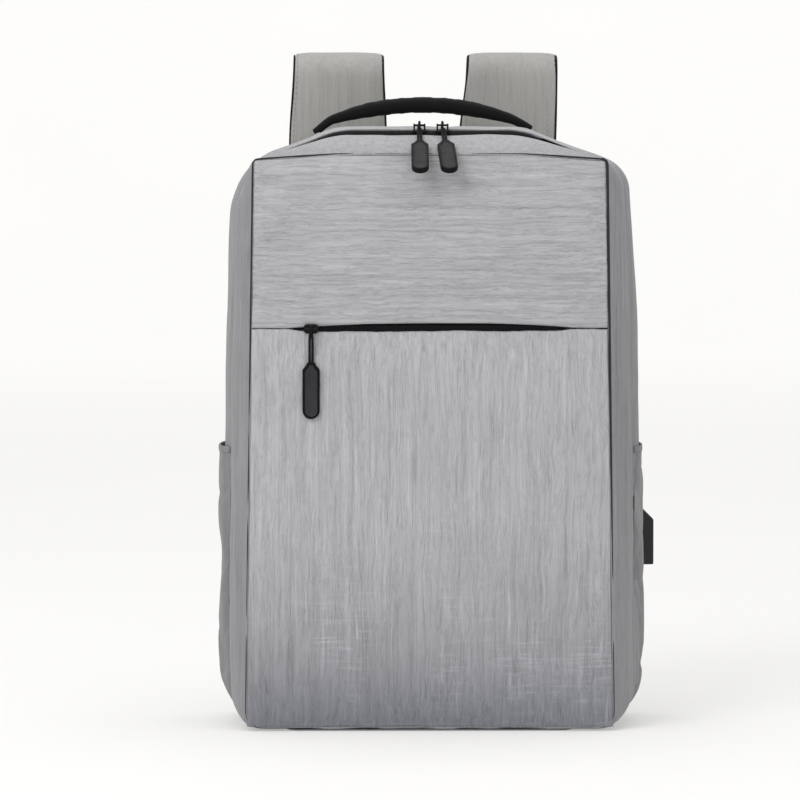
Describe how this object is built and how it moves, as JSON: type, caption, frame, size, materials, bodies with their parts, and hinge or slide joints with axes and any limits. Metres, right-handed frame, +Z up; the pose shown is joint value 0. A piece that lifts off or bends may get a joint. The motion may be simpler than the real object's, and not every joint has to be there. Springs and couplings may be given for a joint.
{
  "type": "laptop backpack",
  "caption": "Boxy two-shell laptop backpack with padded straps, top handle, front zip pocket, side pockets and a side charging port.",
  "frame": {"origin": "centre of the flat base, under the middle of the bag", "axes": "+X to the bag's right as seen from the front, -Y to the front face, +Z up"},
  "size_m": [0.3065, 0.1824, 0.47],
  "materials": {
    "shell_fabric": "light grey melange polyester weave, matt",
    "front_fabric": "light grey melange polyester weave, matt",
    "pocket_fabric": "grey melange polyester weave, matt",
    "lining": "thin woven lining, matt",
    "back_mesh": "black air mesh over foam",
    "webbing": "black woven webbing",
    "handle_padding": "black knitted sleeve over foam",
    "zip_tape": "black woven zip tape",
    "zip_coil": "black nylon coil",
    "slider_metal": "black painted zinc casting",
    "pull_rubber": "dark grey moulded grip, satin",
    "pull_cord": "black braided cord",
    "board": "stiffening board, matt",
    "port_plastic": "black glossy plastic",
    "socket_steel": "bright pressed steel",
    "socket_plastic": "white moulded plastic",
    "lead": "black cable jacket",
    "screw_steel": "zinc plated steel",
    "buckle_plastic": "black acetal, fine texture",
    "strap_fabric": "warm grey melange polyester weave",
    "hook_loop": "black hook and loop tape"
  },
  "bodies": {
    "root": {"rear_gusset": "shell_fabric", "base_panel": "shell_fabric", "base_board": "board", "back_panel": "back_mesh", "back_board": "board", "back_pads": "back_mesh", "laptop_divider": "lining", "side_pocket_left": "pocket_fabric", "side_pocket_right": "pocket_fabric", "pocket_hems": "pocket_fabric", "port_housing": "port_plastic", "usb_socket_shell": "socket_steel", "usb_socket_tongue": "socket_plastic", "port_clamp_plate": "port_plastic", "port_screws": "screw_steel", "usb_lead": "lead", "usb_plug": "lead", "lead_clips": "board", "battery_pocket": "lining", "main_zip_rear_tape": "zip_tape", "main_zip_rear_coil": "zip_coil", "handle_anchors": "webbing", "strap_yoke": "back_mesh", "lower_anchors": "webbing", "lower_webbing_left": "webbing", "lower_webbing_right": "webbing", "sleeve_patch": "hook_loop"},
    "front_shell": {"front_gusset": "shell_fabric", "front_upper_panel": "front_fabric", "front_lower_panel": "front_fabric", "front_lining": "lining", "front_zip_tape": "zip_tape", "front_zip_coil": "zip_coil", "main_zip_front_tape": "zip_tape", "main_zip_front_coil": "zip_coil", "organiser_pocket": "lining"},
    "sleeve_strap": {"sleeve_strap": "webbing"},
    "handle": {"handle_core": "webbing", "handle_grip": "handle_padding"},
    "main_slider_left": {"slider_main_left": "slider_metal"},
    "main_slider_right": {"slider_main_right": "slider_metal"},
    "front_slider": {"slider_front": "slider_metal"},
    "main_pull_left": {"pull_cord_main_left": "pull_cord", "pull_grip_main_left": "pull_rubber"},
    "main_pull_right": {"pull_cord_main_right": "pull_cord", "pull_grip_main_right": "pull_rubber"},
    "front_pull": {"pull_cord_front": "pull_cord", "pull_grip_front": "pull_rubber"},
    "strap_left": {"strap_pad_left": "strap_fabric", "strap_mesh_left": "back_mesh", "strap_binding_left": "webbing", "buckle_loop_left": "webbing"},
    "adjuster_left": {"adjuster_left": "buckle_plastic"},
    "strap_right": {"strap_pad_right": "strap_fabric", "strap_mesh_right": "back_mesh", "strap_binding_right": "webbing", "buckle_loop_right": "webbing"},
    "adjuster_right": {"adjuster_right": "buckle_plastic"}
  },
  "joints": [
    {"name": "front_shell_open", "type": "hinge", "parent": "root", "child": "front_shell", "pos_m": [0, -0.064, 0.004], "axis": [1, 0, 0], "range_deg": [0, 75]},
    {"name": "main_slider_left_run", "type": "slide", "parent": "front_shell", "child": "main_slider_left", "axis": [-1, 0, 0], "range_m": [0, 0.046]},
    {"name": "main_slider_right_run", "type": "slide", "parent": "front_shell", "child": "main_slider_right", "axis": [1, 0, 0], "range_m": [0, 0.044]},
    {"name": "main_pull_left_swing", "type": "hinge", "parent": "main_slider_left", "child": "main_pull_left", "pos_m": [-0.007, -0.037, 0.4189], "axis": [-1, 0, 0], "range_deg": [0, 140]},
    {"name": "main_pull_right_swing", "type": "hinge", "parent": "main_slider_right", "child": "main_pull_right", "pos_m": [0.009, -0.037, 0.4189], "axis": [-1, 0, 0], "range_deg": [0, 140]},
    {"name": "front_slider_run", "type": "slide", "parent": "front_shell", "child": "front_slider", "axis": [1, 0, 0], "range_m": [0, 0.168]},
    {"name": "front_pull_swing", "type": "hinge", "parent": "front_slider", "child": "front_pull", "pos_m": [-0.082, -0.0703, 0.279], "axis": [-1, 0, 0], "range_deg": [0, 150]},
    {"name": "handle_tilt", "type": "hinge", "parent": "root", "child": "handle", "pos_m": [-0.004, 0.018, 0.413], "axis": [1, 0, 0], "range_deg": [-20, 20], "stiffness_Nm_per_rad": 0.03},
    {"name": "sleeve_strap_flip", "type": "hinge", "parent": "root", "child": "sleeve_strap", "pos_m": [0, 0.0496, 0.3068], "axis": [-1, 0, 0], "range_deg": [0, 85]},
    {"name": "strap_left_lift", "type": "hinge", "parent": "root", "child": "strap_left", "pos_m": [-0.0637, 0.058, 0.4125], "axis": [1, 0, 0], "range_deg": [0, 25], "deforming": ["lower_webbing_left"]},
    {"name": "adjuster_left_tilt", "type": "hinge", "parent": "strap_left", "child": "adjuster_left", "pos_m": [-0.0637, 0.08, 0.141], "axis": [1, 0, 0], "range_deg": [0, 45]},
    {"name": "strap_right_lift", "type": "hinge", "parent": "root", "child": "strap_right", "pos_m": [0.0563, 0.058, 0.4125], "axis": [1, 0, 0], "range_deg": [0, 25], "deforming": ["lower_webbing_right"]},
    {"name": "adjuster_right_tilt", "type": "hinge", "parent": "strap_right", "child": "adjuster_right", "pos_m": [0.0563, 0.08, 0.141], "axis": [1, 0, 0], "range_deg": [0, 45]}
  ]
}
